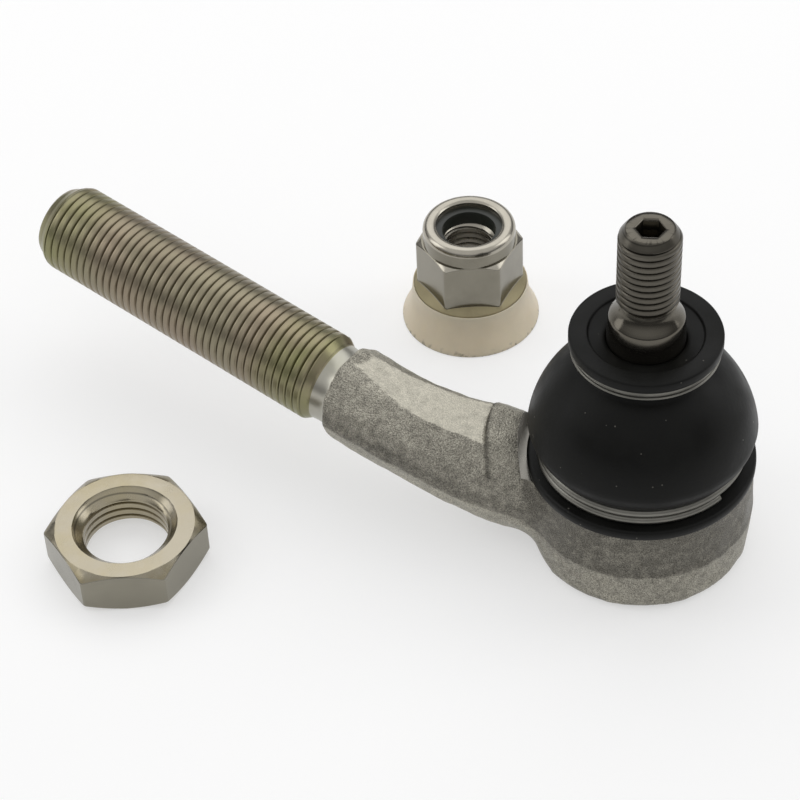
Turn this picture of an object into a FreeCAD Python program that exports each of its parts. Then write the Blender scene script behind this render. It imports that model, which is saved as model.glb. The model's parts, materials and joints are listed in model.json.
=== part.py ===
"""Tie rod end of a car's steering, with its jam nut and its self-locking stud nut, in millimetres.

The frame stands on the flat bottom of the ball cup: +Z runs up the stud and the shank points along -X.
The shank is M16 x 1.5 and the stud M10 x 1.25. Threads are plain: shafts at their major diameter and
nut bores at their minor diameter."""
import FreeCAD, Part
import math
import os
import re
import Sketcher

SIZES = {
    # Forged cup, turned about the stud's axis. A rise is counted from the named height it follows.
    "cup_radius": 19.0,
    "cup_draft": 0.5,
    "base_flat_radius": 16.8,
    "base_corner_height": 1.6,
    "base_round": 1.9,
    "parting_height": 8.2,
    "shoulder_height": 17.1,
    "spotface_radius": 20.4,
    "collar_radius": 14.2,
    "collar_rise": 5.2,
    "collar_wall": 1.2,
    "mouth_step": 1.0,
    "throat_step": 2.6,
    "throat_rise": 5.5,
    "plate_pocket_step": 1.0,
    "plate_pocket_depth": 2.2,
    # Ball and stud; the rises are counted from the ball's centre.
    "ball_radius": 9.5,
    "ball_height": 12.0,
    "ball_flat_radius": 5.5,
    "stud_neck_radius": 6.2,
    "stud_neck_rise": 13.5,
    "taper_start_rise": 16.5,
    "taper_end_rise": 37.2,
    "taper_root_radius": 7.3,
    "taper_end_radius": 6.1,
    "stud_thread_radius": 5.0,
    "stud_thread_rise": 39.8,
    "stud_chamfer": 1.7,
    "stud_tip_radius": 3.85,
    "stud_rise": 55.0,
    "socket_flats": 4.0,
    "socket_depth": 3.6,
    "socket_point": 1.1,
    # Ball seats, spring and closing plate inside the cup; the rises are counted from the ball's centre.
    "ball_clearance": 0.05,
    "seat_clearance": 0.05,
    "seat_lip_rise": 4.2,
    "seat_flare": 0.65,
    "upper_seat_fall": 3.0,
    "lower_seat_fall": 3.4,
    "lower_seat_depth": 8.1,
    "lower_seat_hole": 5.9,
    "spring_wall": 0.7,
    "spring_hole": 5.5,
    "spring_rise": 0.7,
    "spring_clearance": 0.2,
    "plate_wall": 1.8,
    "plate_dimple_radius": 6.0,
    "plate_dimple_depth": 0.6,
    # Shank on its own rising axis; distances are measured from the cup's axis along it.
    "shank_rise": 6.9,
    "shank_offset": 14.2,
    "shank_height": 10.65,
    "shank_radius": 8.0,
    "forging_end": 49.9,
    "forging_radius": 8.25,
    "forging_step": 0.4,
    "forging_step_length": 3.0,
    "neck_radius": 6.9,
    "neck_start": 50.7,
    "neck_end": 53.8,
    "thread_start": 55.0,
    "thread_end": 112.3,
    "tip_radius": 6.0,
    "tip_round": 4.5,
    "shank_tip": 115.0,
    # Forged arm between shank and cup, with a flat struck along its top.
    "arm_root_reach": 6.0,
    "arm_root_offset": 5.6,
    "arm_root_height": 9.6,
    "arm_root_radius": 9.05,
    "arm_bend_reach": 20.0,
    "arm_bend_offset": 9.75,
    "arm_bend_height": 11.85,
    "arm_bend_radius": 9.7,
    "arm_mid_reach": 31.0,
    "arm_mid_offset": 13.25,
    "arm_mid_radius": 8.45,
    "arm_end_reach": 42.0,
    "arm_end_radius": 8.1,
    "arm_flat_start": 25.5,
    "arm_flat_end": 46.5,
    "arm_flat_height": 7.6,
    # Dust boot, a hollow rubber dome; rises start at the cup's shoulder, steps at the groove's floor.
    "boot_groove_wall": 1.45,
    "boot_lip_step": 3.15,
    "boot_lip_height": 1.9,
    "boot_wall": 1.6,
    "boot_neck_wall": 0.8,
    "boot_fit": 0.1,
    "boot_crease_step": 1.45,
    "boot_bulge_step": 3.0,
    "boot_bulge_rise": 8.9,
    "boot_bulge_round": 6.0,
    "boot_dome_round": 19.0,
    "boot_neck_radius": 9.6,
    "boot_neck_rise": 22.5,
    "boot_neck_length": 4.0,
    "flange_radius": 12.35,
    "flange_wall": 1.9,
    "recess_radius": 9.27,
    "recess_depth": 0.5,
    "recess_fall": 0.7,
    # Rings that hold the boot.
    "wire_diameter": 1.6,
    "wire_gap": 0.05,
    "wire_weld": 0.32,
    "ring_fit": 0.1,
    "ring_radius": 12.15,
    "ring_wall": 1.5,
    # Jam nut, M16 x 1.5, lying flat.
    "jam_flats": 24.0,
    "jam_height": 8.0,
    "jam_bore_radius": 7.19,
    "jam_sink_radius": 8.9,
    "jam_face_radius": 11.5,
    "jam_x": -67.6,
    "jam_y": -54.0,
    # Self-locking nut, M10 x 1.25, standing on its plastic cone.
    "lock_flats": 17.0,
    "lock_bore_radius": 4.32,
    "lock_sink_radius": 5.3,
    "lock_skirt_radius": 10.3,
    "lock_skirt_bottom": 6.9,
    "lock_skirt_edge": 0.9,
    "lock_hex_bottom": 9.3,
    "lock_hex_sunk": 0.6,
    "lock_hex_top": 17.8,
    "lock_face_radius": 8.7,
    "lock_collar_radius": 8.4,
    "lock_collar_top": 20.7,
    "lock_roll": 1.3,
    "lock_opening_radius": 5.9,
    "lock_opening_bevel": 0.5,
    "lock_seat_radius": 7.4,
    "lock_seat_bottom": 17.4,
    "insert_height": 2.2,
    "insert_bore_radius": 4.75,
    "insert_clearance": 0.05,
    "lock_x": -54.9,
    "lock_y": 28.8,
    "nut_turn": -51.8,
    # Plastic cone under the lock nut.
    "cone_base_radius": 12.6,
    "cone_foot": 0.6,
    "cone_flare_round": 9.0,
    "cone_side_round": 16.0,
    "cone_waist_radius": 11.0,
    "cone_waist_height": 3.4,
    "cone_top_radius": 11.1,
    "cone_hole_radius": 6.3,
    "cone_lip": 0.9,
    "cone_wall": 1.3,
    "cone_fit": 0.1,
    # How far a cutter passes the face it cuts.
    "cutter_past": 1.0,
}

HEX_SIDES = 6

doc = FreeCAD.newDocument("tie_rod_end")
sheet = doc.addObject("Spreadsheet::Sheet", "Sizes")
for row, (alias, size) in enumerate(SIZES.items(), start=1):
    sheet.set("A%d" % row, alias.replace("_", " "))
    sheet.set("B%d" % row, str(size))
    sheet.setAlias("B%d" % row, alias)
doc.recompute()


def sized(text):
    """An expression in the sheet's words, with each word pointed at its cell."""
    return re.sub(r"[a-z][a-z_]*", lambda w: "Sizes." + w.group() if w.group() in SIZES else w.group(), text)


def worth(text):
    """The present value of such an expression, to place geometry before its constraints hold it."""
    return float(sheet.evalExpression(sized(text)))


def new_body(label):
    body = doc.addObject("PartDesign::Body", label)
    body.Label = label
    return body


def new_sketch(body, name, plane, lift=None):
    """A sketch on one of the body's own origin planes, lifted off it by an expression."""
    sketch = body.newObject("Sketcher::SketchObject", name)
    support = next(f for f in body.Origin.OriginFeatures if f.Role == plane)
    sketch.AttachmentSupport = [(support, "")]
    sketch.MapMode = "FlatFace"
    if lift:
        sketch.setExpression("AttachmentOffset.Base.z", sized(lift))
    return sketch


def hold(sketch, kind, where, text):
    """Add a dimension and bind it to the sheet."""
    index = sketch.addConstraint(Sketcher.Constraint(kind, *where, worth(text)))
    sketch.setExpression("Constraints[%d]" % index, sized(text))


def from_origin(sketch, edge, point, x, y):
    """Bind a point of an edge to its place from the sketch's origin."""
    hold(sketch, "DistanceX", (-1, 1, edge, point), x)
    hold(sketch, "DistanceY", (-1, 1, edge, point), y)


def arc_between(start, end, radius, side):
    """The arc of a radius from start to end, bulging to the right of the way when side is 1."""
    chord = end - start
    middle = start + chord * 0.5
    across = FreeCAD.Vector(chord.y, -chord.x, 0).normalize() * side
    rise = radius - math.sqrt(radius ** 2 - chord.Length ** 2 / 4)
    return Part.Arc(start, middle + across * rise, end)


def outline(sketch, corners):
    """A closed outline. A corner is (x, y), or (x, y, radius, side) where an arc leads to the next one."""
    points = [FreeCAD.Vector(worth(c[0]), worth(c[1]), 0) for c in corners]
    ends = []
    for corner, start, end in zip(corners, points, points[1:] + points[:1]):
        if len(corner) == 4:
            edge = sketch.addGeometry(arc_between(start, end, worth(corner[2]), corner[3]))
            hold(sketch, "Radius", (edge,), corner[2])
        else:
            edge = sketch.addGeometry(Part.LineSegment(start, end))
        from_start = (sketch.getPoint(edge, 1) - start).Length
        from_end = (sketch.getPoint(edge, 2) - start).Length
        ends.append((edge, 1, 2) if from_start < from_end else (edge, 2, 1))
    for index, (edge, first, last) in enumerate(ends):
        before = ends[index - 1]
        sketch.addConstraint(Sketcher.Constraint("Coincident", before[0], before[2], edge, first))
        from_origin(sketch, edge, first, corners[index][0], corners[index][1])


def turn(body, name, corners, cut=False):
    """Turn an outline of radius and height about the Z axis, as new material or as a cut."""
    sketch = new_sketch(body, name + "_outline", "XZ_Plane")
    outline(sketch, corners)
    feature = body.newObject("PartDesign::Groove" if cut else "PartDesign::Revolution", name)
    feature.Profile = sketch
    feature.ReferenceAxis = (sketch, ["V_Axis"])
    feature.Angle = 360
    return feature


def hexagon(sketch, flats):
    corners = []
    for k in range(HEX_SIDES):
        angle = "(360 deg * (%d + 0.5) / %d)" % (k, HEX_SIDES)
        corners.append(("%s / sqrt(3) * cos%s" % (flats, angle), "%s / sqrt(3) * sin%s" % (flats, angle)))
    outline(sketch, corners)


def hex_prism(body, name, flats, bottom, height):
    sketch = new_sketch(body, name + "_outline", "XY_Plane", bottom)
    hexagon(sketch, flats)
    pad = body.newObject("PartDesign::Pad", name)
    pad.Profile = sketch
    pad.setExpression("Length", sized(height))
    return pad


def bevel(body, name, face_radius, face_height, flats, way):
    """Turn the corners of a hexagon down at 30 degrees from a round face; way is 1 for a top face."""
    reach = "(%s / sqrt(3) + cutter_past)" % flats
    fall = "%s - %d * (%s - %s) * tan(30 deg)" % (face_height, way, reach, face_radius)
    past = "%s + %d * cutter_past" % (face_height, way)
    corners = [(face_radius, face_height), (reach, fall), (reach, past), (face_radius, past)]
    turn(body, name, corners, cut=True)


def place(body, x, y):
    """Stand a loose nut's piece at its spot on the table, turned as both nuts are."""
    body.setExpression("Placement.Base.x", sized(x))
    body.setExpression("Placement.Base.y", sized(y))
    body.Placement.Rotation.Axis = FreeCAD.Vector(0, 0, 1)
    body.setExpression("Placement.Rotation.Angle", sized("nut_turn * 1 deg"))


def rising(reach):
    """Height of the shank's axis at a distance from the cup's axis."""
    return "(shank_height + %s * tan(shank_rise * 1 deg))" % reach


COLLAR_TOP = "shoulder_height + collar_rise"
SEAT_BORE = "(collar_radius - collar_wall)"
PLATE_POCKET = SEAT_BORE + " + plate_pocket_step"
GROOVE = "(collar_radius + boot_fit + boot_groove_wall)"
NECK_TOP = "shoulder_height + boot_neck_rise"
FLANGE_BOTTOM = NECK_TOP + " + boot_neck_length"
FLANGE_TOP = FLANGE_BOTTOM + " + flange_wall"
STUD_TOP = "ball_height + stud_rise"
SPRING_SEAT = "ball_height - lower_seat_depth"


def forged_housing():
    """Ball cup, arm and threaded shank, forged in one piece and then turned."""
    body = new_body("forged_housing")
    turn(body, "cup", [
        ("0", "0"),
        ("base_flat_radius", "0", "base_round", 1),
        ("cup_radius - cup_draft", "base_corner_height"),
        ("cup_radius", "parting_height"),
        ("cup_radius - cup_draft", "shoulder_height"),
        ("collar_radius", "shoulder_height"),
        ("collar_radius", COLLAR_TOP),
        ("0", COLLAR_TOP),
    ])
    arm = body.newObject("PartDesign::AdditiveLoft", "arm")
    forging_reach = "(forging_end * cos(shank_rise * 1 deg))"
    sections = []
    for name, reach, offset, height, radius in (
        ("arm_root", "arm_root_reach", "arm_root_offset", "arm_root_height", "arm_root_radius"),
        ("arm_bend", "arm_bend_reach", "arm_bend_offset", "arm_bend_height", "arm_bend_radius"),
        ("arm_mid", "arm_mid_reach", "arm_mid_offset", rising("arm_mid_reach"), "arm_mid_radius"),
        ("arm_end", "arm_end_reach", "shank_offset", rising("arm_end_reach"), "arm_end_radius"),
        ("arm_tip", forging_reach, "shank_offset", rising(forging_reach), "forging_radius"),
    ):
        section = new_sketch(body, name + "_section", "YZ_Plane", "-" + reach)
        centre = FreeCAD.Vector(-worth(offset), worth(height), 0)
        ring = section.addGeometry(Part.Circle(centre, FreeCAD.Vector(0, 0, 1), worth(radius)))
        hold(section, "Radius", (ring,), radius)
        from_origin(section, ring, 3, "-" + offset, height)
        sections.append(section)
    arm.Profile = sections[0]
    arm.Sections = sections[1:]
    flat_outline = new_sketch(body, "arm_flat_outline", "XZ_Plane")
    outline(flat_outline, [
        ("-arm_flat_start", rising("arm_flat_start") + " + arm_flat_height"),
        ("-arm_flat_end", rising("arm_flat_end") + " + arm_flat_height"),
        ("-arm_flat_end", rising("arm_flat_end") + " + arm_flat_height + arm_bend_radius"),
        ("-arm_flat_start", rising("arm_flat_start") + " + arm_flat_height + arm_bend_radius"),
    ])
    flat = body.newObject("PartDesign::Pocket", "arm_flat")
    flat.Profile = flat_outline
    flat.Midplane = True
    flat.Type = "ThroughAll"
    shank_outline = new_sketch(body, "shank_outline", "XZ_Plane", "shank_offset")
    shank_outline.setExpression("AttachmentOffset.Base.y", sized("shank_height"))
    shank_outline.AttachmentOffset.Rotation.Axis = FreeCAD.Vector(0, 0, 1)
    shank_outline.setExpression("AttachmentOffset.Rotation.Angle", sized("-shank_rise"))
    outline(shank_outline, [
        ("-forging_end + forging_step_length", "0"),
        ("-forging_end + forging_step_length", "forging_radius - forging_step"),
        ("-forging_end", "forging_radius - forging_step"),
        ("-neck_start", "neck_radius"),
        ("-neck_end", "neck_radius"),
        ("-thread_start", "shank_radius"),
        ("-thread_end", "shank_radius", "tip_round", -1),
        ("-shank_tip", "tip_radius"),
        ("-shank_tip", "0"),
    ])
    shank = body.newObject("PartDesign::Revolution", "shank")
    shank.Profile = shank_outline
    shank.ReferenceAxis = (shank_outline, ["H_Axis"])
    shank.Angle = 360
    turn(body, "spotface", [
        ("collar_radius", "shoulder_height"),
        ("spotface_radius", "shoulder_height"),
        ("spotface_radius", COLLAR_TOP + " + cutter_past"),
        ("collar_radius", COLLAR_TOP + " + cutter_past"),
    ], cut=True)
    turn(body, "socket_bore", [
        ("0", "-cutter_past"),
        (PLATE_POCKET, "-cutter_past"),
        (PLATE_POCKET, "plate_pocket_depth"),
        (SEAT_BORE, "plate_pocket_depth"),
        (SEAT_BORE, "ball_height + throat_rise"),
        (SEAT_BORE + " - throat_step", "ball_height + throat_rise"),
        (SEAT_BORE + " - mouth_step", COLLAR_TOP),
        (SEAT_BORE + " - mouth_step", COLLAR_TOP + " + cutter_past"),
        ("0", COLLAR_TOP + " + cutter_past"),
    ], cut=True)
    return body


def ball_height_at(radius):
    """How far from the ball's centre a circle of this radius lies on it."""
    return "sqrt(ball_radius ^ 2 - %s ^ 2)" % radius


def ball_stud():
    """Ball, neck, taper and threaded end, turned in one piece, with a small hexagon socket in its end."""
    body = new_body("ball_stud")
    turn(body, "stud", [
        ("0", "ball_height - " + ball_height_at("ball_flat_radius")),
        ("ball_flat_radius", "ball_height - " + ball_height_at("ball_flat_radius"), "ball_radius", 1),
        ("ball_radius", "ball_height", "ball_radius", 1),
        ("stud_neck_radius", "ball_height + " + ball_height_at("stud_neck_radius")),
        ("stud_neck_radius", "ball_height + stud_neck_rise"),
        ("taper_root_radius", "ball_height + taper_start_rise"),
        ("taper_end_radius", "ball_height + taper_end_rise"),
        ("stud_thread_radius", "ball_height + stud_thread_rise"),
        ("stud_thread_radius", STUD_TOP + " - stud_chamfer"),
        ("stud_tip_radius", STUD_TOP),
        ("0", STUD_TOP),
    ])
    socket_outline = new_sketch(body, "socket_outline", "XY_Plane", STUD_TOP)
    hexagon(socket_outline, "socket_flats")
    socket = body.newObject("PartDesign::Pocket", "socket")
    socket.Profile = socket_outline
    socket.setExpression("Length", sized("socket_depth"))
    turn(body, "drill_point", [
        ("0", STUD_TOP + " - socket_depth"),
        ("socket_flats / 2", STUD_TOP + " - socket_depth"),
        ("0", STUD_TOP + " - socket_depth - socket_point"),
    ], cut=True)
    return body


def upper_seat():
    """Bearing race above the ball's waist, with a flared mouth that lets the stud lean."""
    body = new_body("upper_seat")
    inner = "(ball_radius + ball_clearance)"
    waist = "sqrt(%s ^ 2 - upper_seat_fall ^ 2)" % inner
    lip = "sqrt(%s ^ 2 - seat_lip_rise ^ 2)" % inner
    outer = SEAT_BORE + " - seat_clearance"
    top = "ball_height + throat_rise - seat_clearance"
    turn(body, "race", [
        (waist, "ball_height - upper_seat_fall"),
        (outer, "ball_height - upper_seat_fall"),
        (outer, top),
        (lip + " + seat_flare", top),
        (lip, "ball_height + seat_lip_rise", inner, -1),
    ])
    return body


def lower_seat():
    """Bearing cup under the ball, pushed up by the spring."""
    body = new_body("lower_seat")
    inner = "(ball_radius + ball_clearance)"
    rim = "sqrt(%s ^ 2 - lower_seat_fall ^ 2)" % inner
    dish = "ball_height - sqrt(%s ^ 2 - lower_seat_hole ^ 2)" % inner
    outer = SEAT_BORE + " - seat_clearance"
    turn(body, "cup_seat", [
        ("lower_seat_hole", SPRING_SEAT),
        (outer, SPRING_SEAT),
        (outer, "ball_height - lower_seat_fall"),
        (rim, "ball_height - lower_seat_fall", inner, -1),
        ("lower_seat_hole", dish),
    ])
    return body


def preload_spring():
    """Coned disc spring between the lower seat and the closing plate."""
    body = new_body("preload_spring")
    outer = SEAT_BORE + " - spring_clearance"
    turn(body, "disc", [
        ("spring_hole", SPRING_SEAT + " - spring_wall - seat_clearance"),
        (outer, SPRING_SEAT + " - spring_wall - spring_rise"),
        (outer, SPRING_SEAT + " - spring_rise"),
        ("spring_hole", SPRING_SEAT + " - seat_clearance"),
    ])
    return body


def closing_plate():
    """Pressed cover that closes the cup, with a shallow round dimple."""
    body = new_body("closing_plate")
    outer = PLATE_POCKET + " - seat_clearance"
    bottom = "plate_pocket_depth - plate_wall"
    turn(body, "disc", [
        ("0", bottom + " + plate_dimple_depth"),
        ("plate_dimple_radius - plate_dimple_depth", bottom + " + plate_dimple_depth"),
        ("plate_dimple_radius", bottom),
        (outer, bottom),
        (outer, "plate_pocket_depth"),
        ("0", "plate_pocket_depth"),
    ])
    return body


def dust_boot():
    """Rubber dome between the cup's collar and the stud's taper, with grooves for both rings."""
    body = new_body("dust_boot")
    slope = "(taper_root_radius - taper_end_radius) / (taper_end_rise - taper_start_rise)"
    on_taper = "taper_end_radius + (ball_height + taper_end_rise - (%s)) * " + slope + " + boot_fit"
    lip_floor = FLANGE_TOP + " - recess_depth - recess_fall"
    lip_top = "shoulder_height + boot_lip_height"
    groove_top = lip_top + " + 2 * wire_diameter + 3 * wire_gap"
    turn(body, "dome", [
        ("collar_radius + boot_fit", "shoulder_height"),
        (GROOVE + " + boot_lip_step", "shoulder_height"),
        (GROOVE + " + boot_lip_step", lip_top),
        (GROOVE, lip_top),
        (GROOVE, groove_top),
        (GROOVE + " + boot_crease_step", groove_top, "boot_bulge_round", 1),
        (GROOVE + " + boot_bulge_step", "shoulder_height + boot_bulge_rise", "boot_dome_round", 1),
        ("boot_neck_radius", NECK_TOP),
        ("boot_neck_radius", FLANGE_BOTTOM),
        ("flange_radius", FLANGE_BOTTOM),
        ("flange_radius", FLANGE_TOP),
        ("recess_radius", FLANGE_TOP),
        ("recess_radius", FLANGE_TOP + " - recess_depth"),
        (on_taper % lip_floor, lip_floor),
        (on_taper % NECK_TOP, NECK_TOP),
        ("boot_neck_radius - boot_neck_wall", NECK_TOP + " - boot_wall", "boot_dome_round - boot_wall", -1),
        (GROOVE + " + boot_bulge_step - boot_wall", "shoulder_height + boot_bulge_rise"),
        ("collar_radius + boot_fit", COLLAR_TOP),
    ])
    return body


def lower_boot_ring():
    """Spring wire in two turns, one on the other, in the boot's lower groove."""
    wire_floor = "shoulder_height + boot_lip_height + wire_gap"
    wire_centre = GROOVE + " + wire_gap + wire_diameter / 2"
    turns = []
    for index in range(2):
        turn_ring = doc.addObject("Part::Torus", "wire_turn_%d" % (index + 1))
        turn_ring.setExpression("Radius1", sized(wire_centre))
        turn_ring.setExpression("Radius2", sized("wire_diameter / 2"))
        height = wire_floor + " + wire_diameter * (%d + 0.5)" % index
        turn_ring.setExpression("Placement.Base.z", sized(height))
        turns.append(turn_ring)
    bond = doc.addObject("Part::Cut", "wire_bond")
    for role, side in (("Base", " + "), ("Tool", " - ")):
        disc = doc.addObject("Part::Cylinder", "wire_bond_" + role.lower())
        disc.setExpression("Radius", sized(wire_centre + side + "wire_weld / 2"))
        disc.setExpression("Height", sized("wire_weld"))
        disc.setExpression("Placement.Base.z", sized(wire_floor + " + wire_diameter - wire_weld / 2"))
        setattr(bond, role, disc)
    ring = doc.addObject("Part::MultiFuse", "lower_boot_ring")
    ring.Shapes = turns + [bond]
    ring.Label = "lower_boot_ring"
    return ring


def upper_boot_ring():
    """Flat steel ring round the boot's neck, under its flange."""
    body = new_body("upper_boot_ring")
    top = FLANGE_BOTTOM + " - ring_fit"
    turn(body, "ring", [
        ("boot_neck_radius + ring_fit", top + " - ring_wall"),
        ("ring_radius", top + " - ring_wall"),
        ("ring_radius", top),
        ("boot_neck_radius + ring_fit", top),
    ])
    return body


def jam_nut():
    """Thin hexagon nut of the shank, bevelled and countersunk on both sides."""
    body = new_body("jam_nut")
    hex_prism(body, "hexagon", "jam_flats", "0", "jam_height")
    bevel(body, "top_bevel", "jam_face_radius", "jam_height", "jam_flats", 1)
    bevel(body, "bottom_bevel", "jam_face_radius", "0", "jam_flats", -1)
    sink = "(jam_sink_radius - jam_bore_radius)"
    turn(body, "bore", [
        ("0", "-cutter_past"),
        ("jam_sink_radius", "-cutter_past"),
        ("jam_sink_radius", "0"),
        ("jam_bore_radius", sink),
        ("jam_bore_radius", "jam_height - " + sink),
        ("jam_sink_radius", "jam_height"),
        ("jam_sink_radius", "jam_height + cutter_past"),
        ("0", "jam_height + cutter_past"),
    ], cut=True)
    place(body, "jam_x", "jam_y")
    return body


def lock_nut():
    """Self-locking nut with a skirt below the hexagon and a rolled collar above it."""
    body = new_body("lock_nut")
    hex_prism(body, "hexagon", "lock_flats", "lock_hex_bottom - lock_hex_sunk",
              "lock_hex_top - lock_hex_bottom + lock_hex_sunk")
    bevel(body, "top_bevel", "lock_face_radius", "lock_hex_top", "lock_flats", 1)
    turn(body, "skirt", [
        ("0", "lock_skirt_bottom"),
        ("lock_skirt_radius", "lock_skirt_bottom"),
        ("lock_skirt_radius", "lock_skirt_bottom + lock_skirt_edge"),
        ("lock_flats / 2", "lock_hex_bottom"),
        ("0", "lock_hex_bottom"),
    ])
    turn(body, "collar", [
        ("0", "lock_hex_bottom"),
        ("lock_collar_radius", "lock_hex_bottom"),
        ("lock_collar_radius", "lock_collar_top - lock_roll", "lock_roll", 1),
        ("lock_collar_radius - lock_roll", "lock_collar_top"),
        ("0", "lock_collar_top"),
    ])
    seat_top = "lock_seat_bottom + insert_height + insert_clearance"
    turn(body, "bore", [
        ("0", "lock_skirt_bottom - cutter_past"),
        ("lock_sink_radius", "lock_skirt_bottom - cutter_past"),
        ("lock_sink_radius", "lock_skirt_bottom"),
        ("lock_bore_radius", "lock_skirt_bottom + lock_sink_radius - lock_bore_radius"),
        ("lock_bore_radius", "lock_seat_bottom"),
        ("lock_seat_radius", "lock_seat_bottom"),
        ("lock_seat_radius", seat_top),
        ("lock_opening_radius", seat_top),
        ("lock_opening_radius", "lock_collar_top - lock_opening_bevel"),
        ("lock_opening_radius + lock_opening_bevel", "lock_collar_top"),
        ("lock_opening_radius + lock_opening_bevel", "lock_collar_top + cutter_past"),
        ("0", "lock_collar_top + cutter_past"),
    ], cut=True)
    place(body, "lock_x", "lock_y")
    return body


def lock_nut_insert():
    """Locking ring caught under the rolled collar."""
    body = new_body("lock_nut_insert")
    turn(body, "ring", [
        ("insert_bore_radius", "lock_seat_bottom"),
        ("lock_seat_radius - insert_clearance", "lock_seat_bottom"),
        ("lock_seat_radius - insert_clearance", "lock_seat_bottom + insert_height"),
        ("insert_bore_radius", "lock_seat_bottom + insert_height"),
    ])
    place(body, "lock_x", "lock_y")
    return body


def nut_dust_cone():
    """Plastic cone that grips the nut's skirt and flares out to the table, open below."""
    body = new_body("nut_dust_cone")
    top = "lock_skirt_bottom + cone_lip"
    floor = "lock_skirt_bottom - cone_wall"
    turn(body, "cone", [
        ("cone_base_radius - cone_wall", "0"),
        ("cone_base_radius", "0"),
        ("cone_base_radius", "cone_foot", "cone_flare_round", -1),
        ("cone_waist_radius", "cone_waist_height", "cone_side_round", -1),
        ("cone_top_radius", top),
        ("lock_skirt_radius + cone_fit", top),
        ("lock_skirt_radius + cone_fit", "lock_skirt_bottom - cone_fit"),
        ("cone_hole_radius", "lock_skirt_bottom - cone_fit"),
        ("cone_hole_radius", floor),
        ("cone_waist_radius - cone_wall", floor),
        ("cone_waist_radius - cone_wall", "cone_waist_height"),
    ])
    place(body, "lock_x", "lock_y")
    return body


PIECES = [
    forged_housing(),
    upper_seat(),
    lower_seat(),
    preload_spring(),
    closing_plate(),
    ball_stud(),
    dust_boot(),
    lower_boot_ring(),
    upper_boot_ring(),
    jam_nut(),
    lock_nut(),
    lock_nut_insert(),
    nut_dust_cone(),
]
doc.recompute()

for item in doc.Objects:
    if "Invalid" in item.State or "Error" in item.State:
        raise RuntimeError("%s failed to build" % item.Label)
for piece in PIECES:
    if piece.Shape.isNull() or not piece.Shape.isValid() or len(piece.Shape.Solids) != 1:
        raise RuntimeError("%s is not one sound solid" % piece.Label)

os.makedirs("parts", exist_ok=True)
for piece in PIECES:
    piece.Shape.exportStep("parts/%s.step" % piece.Label)
    box = piece.Shape.BoundBox
    print("%-18s volume %8.1f  z %.2f to %.2f" % (piece.Label, piece.Shape.Volume, box.ZMin, box.ZMax))
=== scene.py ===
"""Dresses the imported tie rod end: forging, rolled threads, rubber boot, spring rings, plated nuts, and the studio."""

import json
import math

import bmesh
import bpy
import numpy as np
from mathutils import Matrix, Vector


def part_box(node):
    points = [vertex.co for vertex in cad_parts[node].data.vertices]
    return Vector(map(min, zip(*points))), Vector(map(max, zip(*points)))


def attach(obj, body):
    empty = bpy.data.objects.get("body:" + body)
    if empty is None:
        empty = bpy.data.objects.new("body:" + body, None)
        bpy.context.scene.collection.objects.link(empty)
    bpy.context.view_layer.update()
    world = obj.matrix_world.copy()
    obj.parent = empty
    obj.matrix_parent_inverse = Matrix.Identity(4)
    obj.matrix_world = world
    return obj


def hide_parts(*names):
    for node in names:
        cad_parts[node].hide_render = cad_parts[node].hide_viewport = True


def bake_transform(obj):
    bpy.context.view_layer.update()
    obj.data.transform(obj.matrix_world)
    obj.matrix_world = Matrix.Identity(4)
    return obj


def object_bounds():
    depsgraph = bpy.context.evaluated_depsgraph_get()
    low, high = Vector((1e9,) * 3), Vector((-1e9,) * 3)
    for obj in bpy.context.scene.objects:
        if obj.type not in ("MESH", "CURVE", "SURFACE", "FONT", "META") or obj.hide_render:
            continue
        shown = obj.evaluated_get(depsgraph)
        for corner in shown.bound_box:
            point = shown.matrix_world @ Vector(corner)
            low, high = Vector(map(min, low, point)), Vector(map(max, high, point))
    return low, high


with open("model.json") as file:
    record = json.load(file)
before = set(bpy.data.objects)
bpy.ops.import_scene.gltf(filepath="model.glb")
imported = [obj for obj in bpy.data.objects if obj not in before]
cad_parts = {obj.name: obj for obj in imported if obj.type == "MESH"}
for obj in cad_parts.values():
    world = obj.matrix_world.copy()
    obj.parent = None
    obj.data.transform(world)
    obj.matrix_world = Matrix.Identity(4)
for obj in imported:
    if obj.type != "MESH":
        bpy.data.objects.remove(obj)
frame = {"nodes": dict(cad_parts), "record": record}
CAD_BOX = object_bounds()

bl_info = {
    "name": "Tie Rod End",
    "version": (1, 0, 0),
    "blender": (4, 5, 0),
    "location": "3D View > Sidebar > Tie Rod End",
    "description": "Builds the dressed pieces of a steering tie rod end round its packed frame",
    "category": "Object",
}

MM = 0.001
TURN = 2 * math.pi
PARTING = 8.2 * MM  # height of the forging's parting line
ARM_START, ARM_END = 6.0 * MM, 49.5 * MM  # the arm and its flat pad, from the cup's axis
PAD_START, PAD_END = 25.5 * MM, 47.6 * MM
BEVEL = math.tan(math.radians(30))  # fall of a nut's bevel
MOUNTS = {mount["name"]: mount for mount in frame["record"]["mounts"]}


def bottom_of(node):
    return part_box(node)[0].z


def top_of(node):
    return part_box(node)[1].z


def middle_of(node):
    """The axis of an upright round piece, at the height of its frame."""
    low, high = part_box(node)
    return Vector(((low.x + high.x) / 2, (low.y + high.y) / 2, 0))


def length(label, words, value):
    return bpy.props.FloatProperty(name=label, description=words, default=value, unit="LENGTH", precision=5)


def colour(label, words, value):
    return bpy.props.FloatVectorProperty(
        name=label, description=words, default=value, subtype="COLOR", size=3, min=0, max=1)


def amount(label, words, value):
    return bpy.props.FloatProperty(name=label, description=words, default=value)


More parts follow.
